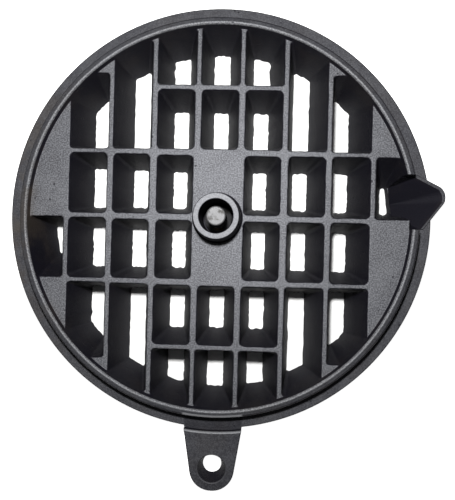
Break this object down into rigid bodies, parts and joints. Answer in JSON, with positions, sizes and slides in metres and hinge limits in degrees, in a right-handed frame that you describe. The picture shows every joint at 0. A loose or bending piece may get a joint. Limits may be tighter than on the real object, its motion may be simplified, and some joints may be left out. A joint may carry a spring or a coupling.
{
  "type": "manhole cover",
  "caption": "Round cast-iron ventilated manhole cover with a rib grid, raised rim, hinge ear, hollow locating nose and a captive centre lock bolt, shown underside up.",
  "frame": {"origin": "centre of the walking face, on the outer face of the lock bolt's head, which is flush with the walking face", "axes": "+Z along the cover's axis from the walking face to the underside, +X towards the locating nose, -Y towards the hinge ear; the cover lies on its walking face"},
  "size_m": [0.6189, 0.685, 0.1155],
  "materials": {
    "cast_iron": "sand-cast grey iron, dark oxidised skin, rubbed lighter on the rib tops and edges",
    "bolt_steel": "bare steel with a rough cut end",
    "washer_steel": "plain zinc-dulled steel",
    "seal_rubber": "black matt rubber",
    "bush_bronze": "turned bronze, dulled",
    "clip_steel": "black spring steel"
  },
  "bodies": {
    "cover": {"cover_casting": "cast_iron", "bolt_washer": "washer_steel", "bolt_seal": "seal_rubber", "bolt_bush": "bush_bronze"},
    "clip": {"bolt_clip": "clip_steel"},
    "bolt": {"lock_bolt": "bolt_steel"}
  },
  "joints": [
    {"name": "bolt_lift", "type": "slide", "parent": "cover", "child": "clip", "axis": [0, 0, 1], "range_m": [-0.012, 0]},
    {"name": "bolt_turn", "type": "hinge", "parent": "clip", "child": "bolt", "pos_m": [0, 0, 0], "axis": [0, 0, 1], "continuous": true}
  ]
}
